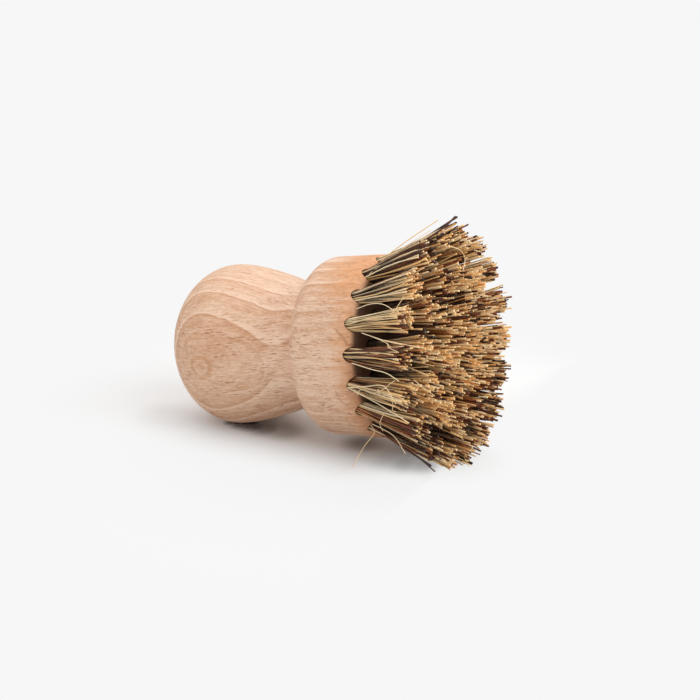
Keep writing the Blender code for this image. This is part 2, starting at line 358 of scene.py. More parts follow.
def waist_outline(sizes):
    """One cubic curve from the widest ring of the knob down to the neck."""
    widest = Vector((sizes.knob_radius, sizes.knob_depth))
    full = widest + Vector((0, sizes.knob_fullness))
    neck = Vector((sizes.neck_radius, sizes.neck_at))
    pulled = neck - Vector((0, sizes.neck_pull))
    points = []
    for step in range(1, WAIST_STEPS + 1):
        t = step / WAIST_STEPS
        left = 1 - t
        point = widest * left**3 + full * 3 * left**2 * t + pulled * 3 * left * t**2 + neck * t**3
        points.append(tuple(point))
    return points


def head_front(sizes):
    """Distance from the end of the knob to the flat drilled face."""
    return sizes.neck_at + sizes.neck_fillet + sizes.head_length


def head_outline(sizes):
    """Neck fillet, rounded shoulder, slight flare, rounded rim and the edge of the flat face."""
    neck, fillet = sizes.neck_radius, sizes.neck_fillet
    outline = [
        (neck + fillet * (1 - math.cos(turn)), sizes.neck_at + fillet * math.sin(turn))
        for turn in arc(FILLET_STEPS)[1:]
    ]
    inside, start = outline[-1]
    shoulder = sizes.head_radius - sizes.head_flare
    outline += [
        (inside + (shoulder - inside) * math.sin(turn), start + sizes.shoulder_depth * (1 - math.cos(turn)))
        for turn in arc(SHOULDER_STEPS)[1:]
    ]
    rim, front = sizes.rim_round, head_front(sizes)
    shoulder_end, rim_start = start + sizes.shoulder_depth, front - rim
    for part in FLARE_PARTS:
        outline.append((shoulder + sizes.head_flare * part, shoulder_end + (rim_start - shoulder_end) * part))
    outline += [
        (sizes.head_radius - rim * (1 - math.cos(turn)), front - rim * (1 - math.sin(turn)))
        for turn in arc(RIM_STEPS)
    ]
    return outline + [(sizes.head_radius - rim - FACE_INSET, front)]


def seat_matrix(handle, bristles, ring, index):
    """Frame of one hole: origin at its mouth, +z out along the hole, +x away from the brush's axis."""
    rim, mouth = handle.rim_round, bristles.mouth_angle
    radius = handle.head_radius - rim + rim * math.sin(mouth)
    along = head_front(handle) - rim + rim * math.cos(mouth)
    ring_share = ring / OUTER_RING
    if ring < OUTER_RING:
        radius, along = radius * ring_share, head_front(handle)
    turn = bristles.drilling_turn + RING_TURNS[ring] + math.tau * index / holes_in(ring)
    return (
        BRUSH
        @ Matrix.Rotation(turn, 4, "Z")
        @ Matrix.Translation((radius, 0, along))
        @ Matrix.Rotation(bristles.splay * ring_share, 4, "Y")
    )


def holes_in(ring):
    """Number of holes in a ring: one in the middle, then six more with every ring."""
    return max(1, HOLES_PER_RING_STEP * ring)


def seats(handle, bristles):
    """(name ending, ring, number, frame) of every hole, from the middle outwards."""
    for ring, ring_name in enumerate(RING_NAMES):
        for index in range(holes_in(ring)):
            ending = f"{ring_name}_{index + 1:02d}" if ring else ring_name
            yield ending, ring, index + 1, seat_matrix(handle, bristles, ring, index)


def open_edges(bm):
    """Edges with a face on one side only."""
    return [edge for edge in bm.edges if edge.is_boundary]


def in_scene(name, data):
    """New object with this data, linked to the scene."""
    thing = bpy.data.objects.new(name, data)
    bpy.context.scene.collection.objects.link(thing)
    return thing


def piece_from(bm, name, material, smooth=True):
    """Turns a bmesh into a named piece with normals outwards."""
    bmesh.ops.recalc_face_normals(bm, faces=bm.faces)
    mesh = bpy.data.meshes.new(name)
    bm.to_mesh(mesh)
    bm.free()
    if smooth:
        mesh.shade_smooth()
    mesh.materials.append(material)
    return in_scene(name, mesh)


def turned_body(sizes):
    """The handle's outline spun round the axis and closed by its flat front face."""
    bm = bmesh.new()
    profile = knob_outline(sizes) + waist_outline(sizes) + head_outline(sizes)
    outline = [bm.verts.new((radius, 0, along)) for radius, along in profile]
    edges = [bm.edges.new(pair) for pair in zip(outline, outline[1:])]
    bmesh.ops.spin(
        bm, geom=outline + edges, cent=(0, 0, 0), axis=(0, 0, 1), dvec=(0, 0, 0), angle=math.tau,
        steps=HANDLE_FACETS, use_merge=True,
    )
    bmesh.ops.remove_doubles(bm, verts=bm.verts, dist=WELD)
    bmesh.ops.holes_fill(bm, edges=open_edges(bm), sides=HANDLE_FACETS)
    bm.transform(BRUSH)
    return bm


def drill_holes(piece, handle, bristles):
    """Cuts a round blind hole for every tuft."""
    bm = bmesh.new()
    radius, depth = bristles.hole_radius, bristles.hole_depth
    reach = depth + DRILL_OVERRUN
    for _, _, _, seat in seats(handle, bristles):
        bmesh.ops.create_cone(
            bm, cap_ends=True, segments=HOLE_FACETS, radius1=radius, radius2=radius,
            depth=reach, matrix=seat @ Matrix.Translation((0, 0, reach / 2 - depth)),
        )
    drills = piece_from(bm, "drills", piece.data.materials[0])
    cut = piece.modifiers.new("drilled_holes", "BOOLEAN")
    cut.operation = "DIFFERENCE"
    cut.solver = "EXACT"
    cut.object = drills
    graph = bpy.context.evaluated_depsgraph_get()
    drilled = bpy.data.meshes.new_from_object(piece.evaluated_get(graph))
    piece.modifiers.clear()
    piece.data = drilled
    bpy.data.objects.remove(drills)
    drilled.shade_smooth()
    drilled.set_sharp_from_angle(angle=SHARP_WOOD_EDGE)


# All lengths in the wood's pattern are millimetres. Each growth ring: depth under the near flank, strength
GROWTH_RINGS = (
    (-20.6, 0.5), (-16.0, 0.7), (-11.5, 0.5), (-7.0, 0.6), (-2.4, 0.4), (2.6, 0.4), (7.7, 0.9), (12.6, 1.2),
    (17.7, 1.2), (20.4, 0.45), (24.6, 0.35), (26.4, 0.5), (28.4, 0.4),
)
# Spots on the near flank: along, sideways and up
EYE = (17.3, -21.8, 0.6)
PALE_SPOT = (41.5, -16.5, 0.5)
FLECKED_SPOT = (23.0, -20.5, 5.0)
# Layers of flecks: pitch across the grain, pitch along it, and how far a fleck reaches in its cell
FLECK_LAYERS = ((0.9, 11.0, 0.12), (1.1, 8.0, 0.1), (0.8, 6.0, 0.11))


def growth_rings(along, side, up, wander, tremble):
    """Tone of the growth rings. Each starts sharply with late wood and fades out under it."""
    dive = (along - 20.0).fade(0.0, 16.0) * (0.0 - side).fade(17.6, 18.8) * 2.3
    dip = along.fade(34.5, 50.0) * 5.0
    depth = up * 0.045 - side + dive + dip + wander * 0.9 + tremble * 0.5
    rings = 0.0
    for ring_depth, strength in GROWTH_RINGS:
        past = depth - ring_depth
        started = past.fade(-0.2, 0.15)
        late = started * (1 - past.fade(0.6, 4.6)) * 0.3
        edge = started * (1 - past.fade(0.1, 0.5)) * 0.16
        pale = past.fade(-1.3, -0.15) * (1 - started) * 0.26
        rings = rings + (late + edge - pale) * strength
    return rings


def flank_spots(beech, place, tremble, flecked):
    """Tone of the round eye on the near flank, the pale spot by the neck and the flecked spot."""
    eye = beech.away_from(place, EYE) + tremble * 1.2
    pupil = (1 - eye.fade(0.6, 2.2)) * 0.32
    eye_ring = eye.fade(1.8, 2.7) * (1 - eye.fade(2.8, 4.2)) * 0.46
    pale = (1 - beech.away_from(place, PALE_SPOT).fade(3.0, 9.0)) * 0.42
    return pupil + eye_ring - pale + (1 - flecked.fade(0.5, 7.0)) * 0.2


def ray_flecks(beech, place, skin, flecked):
    """Short dashes along the grain, which come in patches."""
    flecks = 0.0
    for pitch, cell, reach in FLECK_LAYERS:
        inputs = {"Vector": beech.divided(skin, (cell, pitch, 1.0)), "Scale": 1.0}
        near = beech.add("ShaderNodeTexVoronoi", {"voronoi_dimensions": "2D"}, inputs)
        flecks = (1 - near.fade(reach * 0.6, reach * 1.1)).larger(flecks)
    more = (1 - flecked.fade(1.0, 7.0)) * 0.14
    return flecks * (beech.noise(place, (9.0, 5.0, 3.0)) + more).fade(-0.1, 0.1)


def rim_marks(beech, place, along, up, tremble, streaks, rim):
    """Brown marks on the head: a curl, a slanting line and ripples on top, and painted shade on the head's
    lower part towards the rim.
    """
    curl = (along - 62.6) * (along - 62.6) * 0.19 + (up + 4.5) * (up + 4.5) * 0.0625
    curl = (1 - abs(curl - 1.0).fade(0.05, 0.4)) * (0.0 - up).fade(2.5, 5.5) * 0.4
    slant = abs(along + up * 0.95 + tremble * 3.0 - 73.3)
    slant = (1 - slant.fade(0.1, 0.7)) * along.fade(60.5, 62.0) * up.fade(6.0, 8.0) * 0.45
    ripples = abs(beech.noise(place, (7.0, 3.0, 3.0), 1.0))
    ripples = (1 - ripples.fade(0.0, 0.07)) * rim * up.fade(8.0, 14.0) * 0.28
    # Painted shade: darker low on the head towards the rim
    tint = (0.0 - up).fade(-9.0, 5.0) * (along + streaks * 8.0).fade(60.0, 66.0) * 0.4
    return curl.larger(slant).larger(ripples).larger(tint)


def beech_finish(sizes):
    """Flat-sawn beech: growth rings nearly parallel to the axis, ray flecks and fine straight grain, with
    painted shade on the drilled face and on the head's lower part by the rim.
    """
    beech = Finish("beech", {"Specular IOR Level": 0.4})
    place = beech.brush_place()
    along, side, up = beech.split(place)

    flank = (abs(side) - abs(up)).fade(-0.05, 0.05)
    apart = 60.0
    across = up * flank + (side + apart) * (1 - flank)
    skin = beech.add("ShaderNodeCombineXYZ", {}, {0: along, 1: across})

    wander = beech.noise(place, (26.0, 9.0, 9.0))
    tremble = beech.noise(place, (5.0, 1.6, 1.6))
    streaks = beech.noise(place, (14.0, 1.3, 1.3), 3.0)
    fibre = beech.noise(skin, (3.6, 0.36, 1.0), 3.0, 0.6)
    speck = beech.noise(skin, (1.1, 0.3, 1.0), 2.0, 0.6)
    mottle = beech.noise(place, (30.0, 12.0, 12.0), 1.0)
    flecked = beech.away_from(place, FLECKED_SPOT)

    tone = growth_rings(along, side, up, wander, tremble) + flank_spots(beech, place, tremble, flecked)
    tone = tone + streaks * 0.9 + fibre * 1.65 + speck * 1.2 + mottle * 0.5 + 0.24
    wood = beech.mix(tone.fade(-0.25, 1.05), sizes.early_wood, sizes.late_wood)

    warm = (along.fade(2.0, 14.0) * (1 - along.fade(28.0, 40.0))).larger(along.fade(50.0, 58.0) * 0.6)
    wood = beech.mix(warm * 0.12, wood, sizes.warm_wood)
    rim = (along + streaks * 12.0).fade(58.0, 65.0) * 0.6
    rim = rim.larger(up.fade(16.5, 23.0) * (along + streaks * 14.0).fade(50.0, 62.0) * 0.85)
    wood = beech.mix(rim, wood, sizes.rim_wood)
    wood = beech.mix(rim_marks(beech, place, along, up, tremble, streaks, rim), wood, sizes.ray_fleck)
    flecks = ray_flecks(beech, place, skin, flecked)
    wood = beech.mix(flecks * (0.78 - up.fade(6.0, 20.0) * 0.33), wood, sizes.ray_fleck)
    # Painted shade over the drilled face and the edge of the rim between the tufts
    wood = beech.mix(along.fade(65.5, 66.8) * 0.95, wood, sizes.shaded_wood)

    normal = beech.bump(fibre * 0.6 - flecks * 0.8 + streaks * 0.3, 0.08 * MM, 0.35)
    return beech.finish({"Base Color": wood, "Roughness": 0.62 + fibre * 0.15, "Normal": normal})


def fibre_finish(sizes):
    """Plant fibre: each fibre has its own tone, with stains along it and a darker cut end, and painted shade
    deep between the tufts and in the gaps between fibres.
    """
    fibre = Finish("plant_fibre", {"Specular IOR Level": 0.5})
    place = fibre.brush_place()
    along, _, _ = fibre.split(place)
    stain = fibre.noise(place, (2.2, 0.5, 0.5))
    fine = fibre.noise(place, (0.9, 0.12, 0.12))
    stops = [
        (0.0, tuple(sizes.bleached_straw)),
        (0.05, tuple(sizes.palest_straw)),
        (0.35, tuple(sizes.golden_straw)),
        (0.58, tuple(sizes.tan_fibre)),
        (0.76, tuple(sizes.reddish_fibre)),
        (0.95, tuple(sizes.dark_fibre)),
    ]
    shade = fibre.attribute("tone") + stain * 0.22 + fine * 0.3 + fibre.attribute("cut_end") * 0.1
    # Warmer towards the tips: painted glow of light shining through the fibre ends
    shade = shade + along.fade(72.0, 88.0) * 0.07 - 0.06
    body = fibre.add("ShaderNodeValToRGB", {"stops": stops}, {0: shade})
    # Painted shade mixed over the fibres' colour
    painted_shade = (fibre.attribute("in_shade") * 0.96).larger(fibre.attribute("crevice") * 0.95)
    body = fibre.mix(painted_shade, body, sizes.shaded_fibre)
    normal = fibre.bump(fine, 0.04 * MM, 0.3)
    return fibre.finish({"Base Color": body, "Roughness": 0.42 + fine * 0.2, "Normal": normal})


def wire_finish(sizes):
    """Drawn steel wire with fine lines along it."""
    wire = Finish("drawn_wire", {"Metallic": 1.0})
    lines = wire.noise(wire.brush_place(), (0.8, 0.8, 0.08))
    shaded = tuple(value * 0.75 for value in sizes.steel)
    tint = wire.mix((lines + 0.5) * 0.5, tuple(sizes.steel), shaded)
    return wire.finish({"Base Color": tint, "Roughness": 0.36 + lines * 0.2})


WALL_CLEARANCE = 0.15 * MM
FLOOR_CLEARANCE = 0.25 * MM
ANCHOR_TOP = -6 * MM
ANCHOR_CLEARANCE = 1.1
# Heights over the hole's mouth in millimetres where a fibre may bend
FIBRE_STATIONS = (-9.2, -3.5, 0.3, 3.5, 8.0, 12.5, 16.5)
FIBRE_SIDES = 5
SEEDS_PER_RING = 1000
FOOT_TURN = 1.7
# Least, greatest and usual radius of a fibre, and its growth from station to station, as shares
RADIUS_SHARES = (0.5, 1.35, 0.8)
SWELL = (0.96, 1.12)
CUT_SLANT = 0.35
TRIM_SPREAD = 0.55
TIP_SPREAD = (0.85, 1.1)
OUTER_TUFT_SPREAD = (0.72, 1.08)
FLARE_POWER = 1.1
# Sideways lean of the tips in millimetres, for a stray fibre and for others
STRAY_LEAN, USUAL_LEAN = 1.1, 0.4
# Dark fibres come in clumps, and more of them lie on a tuft's outside. Tones go from 0, palest, to 1
CLUMPS, CLUMP_RADIUS, CLUMP_DARK_SHARE, OUTSIDE_DARK = 2, 0.5 * MM, 0.65, 1.3
TUFT_DARKNESS = (0.3, 1.7)
UNDERSIDE_DARKNESS = 0.4
DARK_TONES, DARK_FROM, PALE_UP_TO = (0.72, 1.0), 0.7, 0.66
PALE_TONE = (0.03, 0.26)
# Painted shade in the gaps between fibres: how far a side is turned inwards, and up to which height over the
# mouth
CREVICE_TURN = (-0.75, 0.0)
OUTER_CREVICE_END, INNER_CREVICE_END, CREVICE_FADE = 13 * MM, 8 * MM, 8 * MM
SHADE_FADE = (5 * MM, 13 * MM)
# Painted shade at a tuft's foot, as shares of its radius: inwards from its edge, and towards the brush's axis
INSIDE_SHADE, INSIDE_FROM, INSIDE_TO = 0.95, 0.12, 0.35
BEHIND_FROM, BEHIND_TO = 0.2, 0.8
# Fibres further out than this share of the radius turn their painted dark side to the tuft's middle
OUTWARD_FROM = -0.3

# Middle line, radius, tone and painted shade of a fibre, and the way that its painted dark side faces
Fibre = collections.namedtuple("Fibre", "line radius tone shade inwards")


def smooth_step(value, start, end):
    """0 before start and 1 after end, smooth between them."""
    run = min(1.0, max(0.0, (value - start) / (end - start)))
    return run * run * (3 - 2 * run)


def fibre_tone(chance, place, dark_spots, dark_share):
    """Tone from 0, palest, to 1, darkest. Dark fibres come in clumps, as they are picked from the heap."""
    clumped = any((place - spot).length < CLUMP_RADIUS for spot in dark_spots)
    if chance.random() < (CLUMP_DARK_SHARE if clumped else dark_share):
        return chance.uniform(*DARK_TONES)
    return min(PALE_UP_TO, abs(chance.gauss(*PALE_TONE)))


def fibre_line(chance, place, ring, sizes, spread):
    """Middle line of one fibre in its seat's frame, from the bottom of the hole to the tip."""
    packed = sizes.hole_radius - WALL_CLEARANCE
    tip_length = sizes.tuft_length + sizes.crown * (1 - ring / OUTER_RING)
    tip_length += chance.gauss(0.0, TRIM_SPREAD) * sizes.raggedness
    tip_radius = sizes.tip_radius if ring == OUTER_RING else sizes.inner_tip_radius
    tip = place * (tip_radius / packed) * spread * chance.uniform(*TIP_SPREAD)
    lean = STRAY_LEAN if chance.random() < sizes.stray_share else USUAL_LEAN
    tip += Vector((chance.gauss(0.0, lean), chance.gauss(0.0, lean))) * MM
    bow_turn = chance.uniform(0.0, math.tau)
    bow = Vector((math.cos(bow_turn), math.sin(bow_turn))) * abs(chance.gauss(0.0, 1.0)) * sizes.bow
    clear = (sizes.anchor_thickness / 2 + sizes.straw_radius) * ANCHOR_CLEARANCE
    line = []
    for height in [station * MM for station in FIBRE_STATIONS] + [tip_length]:
        run = max(0.0, height / tip_length)
        spot = place.lerp(tip, run**FLARE_POWER) + bow * math.sin(math.pi * min(1.0, run))
        if height < ANCHOR_TOP:
            spot.y = math.copysign(max(abs(spot.y), clear), spot.y)
        line.append(Vector((spot.x, spot.y, height)))
    return line


def grow_fibres(fibres, seat, crevice_end):
    """All fibres of a tuft as one bmesh: a five-sided foot each, drawn out from station to station."""
    bm = bmesh.new()
    number = bm.faces.layers.int.new("fibre")
    cut_end = bm.faces.layers.float.new("cut_end")
    tone = bm.verts.layers.float.new("tone")
    in_shade = bm.verts.layers.float.new("in_shade")
    crevice = bm.verts.layers.float.new("crevice")
    axes = seat.to_3x3()
    for index, fibre in enumerate(fibres):
        foot = bmesh.ops.create_circle(
            bm, cap_ends=True, segments=FIBRE_SIDES, radius=fibre.radius,
            matrix=seat @ Matrix.Translation(fibre.line[0]) @ Matrix.Rotation(index * FOOT_TURN, 4, "Z"),
        )["verts"]
        foot[0].link_faces[0][number] = index
        for vert in foot:
            vert[tone], vert[in_shade], vert[crevice] = fibre.tone, fibre.shade, 1.0
    chance = random.Random(len(fibres))
    ends = list(bm.faces)
    last = len(fibres[0].line) - 1
    for station in range(1, last + 1):
        ends = bmesh.ops.extrude_discrete_faces(bm, faces=ends)["faces"]
        for face in ends:
            fibre = fibres[face[number]]
            before, after = (seat @ fibre.line[step] for step in (station - 1, station))
            for spot in (before, after):
                spot.z = max(spot.z, FLOOR_CLEARANCE)
            slant = (chance.uniform(-CUT_SLANT, CUT_SLANT), chance.uniform(-CUT_SLANT, CUT_SLANT), 0.0)
            slant = axes @ Vector(slant)
            swell = chance.uniform(*SWELL)
            height = fibre.line[station].z
            closed = 1 - smooth_step(height, crevice_end, crevice_end + CREVICE_FADE)
            deep = 1 - smooth_step(height, *SHADE_FADE)
            for vert in face.verts:
                offset = (vert.co - before) * swell
                if station == last:
                    offset += axes.col[2] * offset.dot(slant)
                vert.co = after + offset
                inwards = offset.normalized().dot(axes @ fibre.inwards)
                # Painted shade on the sides turned into the tuft, fading out higher up
                vert[crevice] = smooth_step(inwards, *CREVICE_TURN) * closed
                # Painted shade deep among the tufts, fading out higher up
                vert[in_shade] = fibre.shade * deep
    for face in ends:
        face[cut_end] = 1.0
    for face in bm.faces:
        face.smooth = True
    feet = bmesh.ops.holes_fill(bm, edges=open_edges(bm), sides=FIBRE_SIDES)["faces"]
    for face in list(ends) + feet:
        for edge in face.edges:
            edge.smooth = False
    return bm


def fibre_places(count, packed):
    """Even places over a round hole, on a sunflower spiral."""
    golden = math.pi * (3 - math.sqrt(5))
    for index in range(count):
        reach = packed * math.sqrt((index + 0.5) / count)
        yield Vector((math.cos(index * golden), math.sin(index * golden))) * reach


def make_tuft(ending, ring, number, seat, sizes, material):
    """One tuft of plant fibres, which takes the place of its coarse solid."""
    chance = random.Random(SEEDS_PER_RING * ring + number)
    packed = sizes.hole_radius - WALL_CLEARANCE
    outer = ring == OUTER_RING
    dark_spots = [
        Vector((chance.uniform(-packed, 0.0 if outer else packed), chance.uniform(-packed, packed)))
        for _ in range(CLUMPS)
    ]
    darkness = chance.uniform(*TUFT_DARKNESS) * (1 + UNDERSIDE_DARKNESS * max(0.0, -seat.col[0].z))
    spread = chance.uniform(*OUTER_TUFT_SPREAD) if outer else 1.0
    fibres = []
    for place in fibre_places(sizes.fibres, packed - sizes.straw_radius):
        dark_share = sizes.dark_share * darkness * (OUTSIDE_DARK if outer and place.x > 0 else 1.0)
        tone = fibre_tone(chance, place, dark_spots, dark_share)
        mean = sizes.dark_radius if tone > DARK_FROM else sizes.straw_radius
        radius = mean * chance.triangular(*RADIUS_SHARES)
        # Painted shade for fibres inside the tuft and on its side towards the brush's axis
        inside = INSIDE_SHADE * smooth_step(packed - place.length, INSIDE_FROM * packed, INSIDE_TO * packed)
        behind = smooth_step(-place.x, BEHIND_FROM * packed, BEHIND_TO * packed)
        shade = max(inside, behind) if outer else 1.0
        if outer and place.x > OUTWARD_FROM * packed:
            turn = math.atan2(-place.y, -place.x)
        else:
            turn = chance.uniform(0, math.tau)
        inwards = Vector((math.cos(turn), math.sin(turn), 0.0))
        fibres.append(Fibre(fibre_line(chance, place, ring, sizes, spread), radius, tone, shade, inwards))
    bm = grow_fibres(fibres, seat, OUTER_CREVICE_END if outer else INNER_CREVICE_END)
    tuft = piece_from(bm, f"fibres_{ending}", material, smooth=False)
    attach(tuft, "root")
    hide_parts(f"tuft_{ending}")


# Tone and radius of each stray fibre, and its points along, sideways and up, in millimetres
STRAYS = (
    (0.03, 0.10, ((68.2, -20.3, 17.4), (73.6, -22.0, 19.3), (78.5, -24.3, 20.0), (83.5, -27.6, 19.4))),
    (0.2, 0.09, ((86.3, -26.4, 23.0), (84.0, -27.5, 19.9), (82.0, -27.6, 18.2))),
    (0.03, 0.10, ((71.6, -25.5, 12.4), (80.7, -30.1, 12.0), (86.7, -31.9, 11.6))),
    (0.1, 0.09, ((75.7, -27.6, 12.2), (81.3, -30.6, 11.6), (83.3, -32.0, 10.5), (86.3, -33.5, 10.0))),
    (0.15, 0.09, ((80.7, -30.1, 12.1), (86.8, -31.5, 11.6), (88.1, -23.8, 7.9))),
    (0.1, 0.08, ((81.9, -30.9, 11.6), (82.2, -31.4, 10.5), (83.3, -31.8, 11.0))),
    (0.03, 0.12, ((67.6, -26.2, 4.2), (75.1, -29.7, 3.9), (81.0, -32.4, 3.9), (85.8, -34.7, 2.6))),
    (0.1, 0.12, ((64.8, -25.7, -3.0), (72.2, -28.5, -1.4), (79.6, -31.9, 0.0), (83.1, -33.3, -4.3))),
    (0.12, 0.09, ((67.6, -26.0, -4.8), (70.3, -27.6, -2.5), (75.8, -30.1, -2.6), (84.1, -33.9, 2.4))),
    (0.0, 0.13, ((65.3, -25.7, -3.2), (73.8, -28.8, -5.3), (81.1, -31.8, -7.4), (86.5, -33.9, -9.2))),
    (0.1, 0.09, ((77.0, -30.7, -1.2), (77.6, -30.9, -3.1), (81.9, -32.9, -1.7), (86.6, -34.2, -1.9))),
    (0.1, 0.09, ((87.4, -29.6, 1.1), (87.9, -25.9, -2.4), (88.4, -21.6, -6.1))),
    (0.12, 0.09, ((77.0, -29.6, -8.3), (73.5, -26.4, -12.4), (72.9, -24.5, -15.4))),
    (0.1, 0.09, ((81.1, -32.6, -1.8), (81.9, -32.7, -4.6), (81.0, -31.9, -6.5), (82.3, -32.5, -6.8))),
    (0.1, 0.10, ((69.3, -23.4, -13.9), (73.5, -25.3, -14.5), (77.3, -26.3, -16.3), (79.8, -26.4, -20.8))),
    (0.95, 0.20, ((71.5, -23.1, -16.2), (77.3, -23.4, -20.2), (82.3, -24.4, -22.5), (86.3, -23.5, -26.8))),
    (0.9, 0.26, ((80.9, -1.8, 30.4), (86.0, 1.0, 33.3), (88.9, 2.9, 35.8))),
    (0.35, 0.13, ((66.9, -7.4, 24.0), (71.6, -5.6, 27.6), (76.1, -3.4, 30.6), (84.4, 1.2, 35.3))),
    (0.1, 0.09, ((67.0, -9.2, 23.4), (74.0, -6.0, 28.2), (83.0, -1.2, 33.2))),
    (0.05, 0.09, ((87.6, -0.1, 28.4), (87.9, 4.6, 25.9), (88.2, 6.2, 23.1), (88.6, 3.5, 20.6))),
    (0.05, 0.08, ((87.9, 12.7, 23.4), (87.8, 16.7, 21.5), (87.8, 19.5, 18.5))),
    (0.2, 0.10, ((68.4, -22.6, -14.5), (66.7, -18.5, -18.4), (64.3, -21.0, -21.5), (61.7, -24.3, -26.4))),
)
STRAY_STEPS = 5
SHARP_FIBRE_EDGE = math.radians(60)


def curve_through(points):
    """Smooth row of points through the given ones."""
    row = [points[0] * 2 - points[1], *points, points[-1] * 2 - points[-2]]
    smooth = []
    for before, start, end, after in zip(row, row[1:], row[2:], row[3:]):
        square, cube = before * 2 - start * 5 + end * 4 - after, start * 3 - before - end * 3 + after
        for step in range(STRAY_STEPS):
            t = step / STRAY_STEPS
            smooth.append((start * 2 + (end - before) * t + square * t**2 + cube * t**3) / 2)
    return smooth + [points[-1]]


def draw_stray(bm, points, radius, value):
    """One bent fibre as a five-sided tube along a row of points."""
    tone = bm.verts.layers.float["tone"]
    ways = [(after - before).normalized() for before, after in zip(points, points[1:])]
    start = Matrix.Translation(points[0]) @ turn_to(ways[0])
    foot = bmesh.ops.create_circle(
        bm, cap_ends=True, segments=FIBRE_SIDES, radius=radius, matrix=start
    )["verts"]
    for vert in foot:
        vert[tone] = value
    end = foot[0].link_faces[0]
    for index in range(1, len(points)):
        end = bmesh.ops.extrude_discrete_faces(bm, faces=[end])["faces"][0]
        turn = ways[index - 1].rotation_difference(ways[min(index, len(ways) - 1)])
        for vert in end.verts:
            vert.co = points[index] + turn @ (vert.co - points[index - 1])


def make_strays(material):
    """Bent fibres that stick out of the tufts."""
    bm = bmesh.new()
    bm.verts.layers.float.new("tone")
    from_along_sideways_up = Matrix(((0, 0, -1), (0, 1, 0), (1, 0, 0))).to_4x4()
    for value, radius, places in STRAYS:
        points = [BRUSH @ (from_along_sideways_up @ (Vector(place) * MM)) for place in places]
        draw_stray(bm, curve_through(points), radius * MM, value)
    bmesh.ops.holes_fill(bm, edges=open_edges(bm), sides=FIBRE_SIDES)
    strays = piece_from(bm, "stray_fibres", material)
    strays.data.set_sharp_from_angle(angle=SHARP_FIBRE_EDGE)
    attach(strays, "root")


class POTBRUSH_OT_handle(bpy.types.Operator):
    """Turn the beech handle and drill its holes"""

    bl_idname = "potbrush.handle"
    bl_label = "Handle"

    def execute(self, context):
        handle = context.scene.pot_brush_handle
        piece = piece_from(turned_body(handle), "turned_handle", beech_finish(handle))
        drill_holes(piece, handle, context.scene.pot_brush_bristles)
        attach(piece, "root")
        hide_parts("handle")
        return {"FINISHED"}


class POTBRUSH_OT_tufts(bpy.types.Operator):
    """Fill every hole with its tuft of plant fibres"""

    bl_idname = "potbrush.tufts"
    bl_label = "Tufts"

    def execute(self, context):
        handle, bristles = context.scene.pot_brush_handle, context.scene.pot_brush_bristles
        material = fibre_finish(bristles)
        for ending, ring, number, seat in seats(handle, bristles):
            make_tuft(ending, ring, number, seat, bristles, material)
        make_strays(material)
        return {"FINISHED"}


class POTBRUSH_OT_anchors(bpy.types.Operator):
    """Give the outer wire anchors their finish and lay the inner ones in their holes"""

    bl_idname = "potbrush.anchors"
    bl_label = "Anchors"

    def execute(self, context):
        handle, sizes = context.scene.pot_brush_handle, context.scene.pot_brush_bristles
        material = wire_finish(sizes)
        for name, node in frame["nodes"].items():
            if name.startswith("anchor_"):
                node.data.materials.clear()
                node.data.materials.append(material)
        under_anchor = sizes.fold_thickness + 2 * sizes.fit_gap
        at = under_anchor + sizes.anchor_height / 2 - sizes.hole_depth
        half = sizes.hole_radius + sizes.anchor_bite
        size = Matrix.Diagonal((2 * half, sizes.anchor_thickness, sizes.anchor_height, 1.0))
        bm = bmesh.new()
        for _, ring, _, seat in seats(handle, sizes):
            if ring < OUTER_RING:
                bmesh.ops.create_cube(bm, size=1.0, matrix=seat @ Matrix.Translation((0, 0, at)) @ size)
        strips = piece_from(bm, "inner_anchors", material, smooth=False)
        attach(strips, "root")
        return {"FINISHED"}


def view_axes(stage):
    """Right, up and back of the camera."""
    level, rise = stage.azimuth, stage.elevation
    back = Vector((math.sin(level) * math.cos(rise), -math.cos(level) * math.cos(rise), math.sin(rise)))
    right = Vector((math.cos(level), math.sin(level), 0.0))
    return right, back.cross(right), back


SENSOR_WIDTH = 36.0


def make_camera(stage, handle):
    """Camera that sees the brush as laid, from the near side and a little above."""
    right, up, back = view_axes(stage)
    knob = BRUSH @ Vector((0, 0, handle.knob_depth))
    data = bpy.data.cameras.new("camera")
    data.lens = stage.focal_length
    data.sensor_width = SENSOR_WIDTH
    camera = in_scene("camera", data)
    place = knob + back * stage.distance + right * stage.aim_right - up * stage.aim_down
    turn = Matrix((right, up, back)).transposed().to_4x4()
    camera.matrix_world = Matrix.Translation(place) @ turn
    bpy.context.scene.camera = camera


# Place of each painted shadow spot on the floor and the radii between which it fades, in millimetres, and its
# strength
CONTACT_SHADOWS = (
    (-28.2, -5.8, 0.2, 3.0, 0.72), (-26.6, -4.9, 0.3, 3.6, 0.88), (-24.6, -3.8, 0.4, 4.0, 0.94),
    (-23.0, -3.2, 0.4, 4.4, 0.92), (-25.0, -6.0, 0.4, 4.4, 0.72), (-22.5, -5.5, 0.5, 5.4, 0.76),
    (-20.5, -5.0, 0.5, 6.5, 0.76), (-17.5, -4.8, 1.0, 8.0, 0.62), (-12.0, -4.0, 2.0, 9.0, 0.38),
    (11.5, -1.5, 1.0, 8.0, 0.5), (24.0, -9.0, 0.5, 9.0, 0.3), (28.5, -8.5, 0.5, 9.0, 0.46),
    (33.0, -7.5, 1.0, 8.0, 0.44), (43.0, 1.0, 2.0, 20.0, 0.2), (-46.0, -10.0, 4.0, 14.0, 0.1),
)
FRONT_WHITENESS = 0.91
FLOOR_SIZE = 4.0
BLACK = (0.0, 0.0, 0.0)


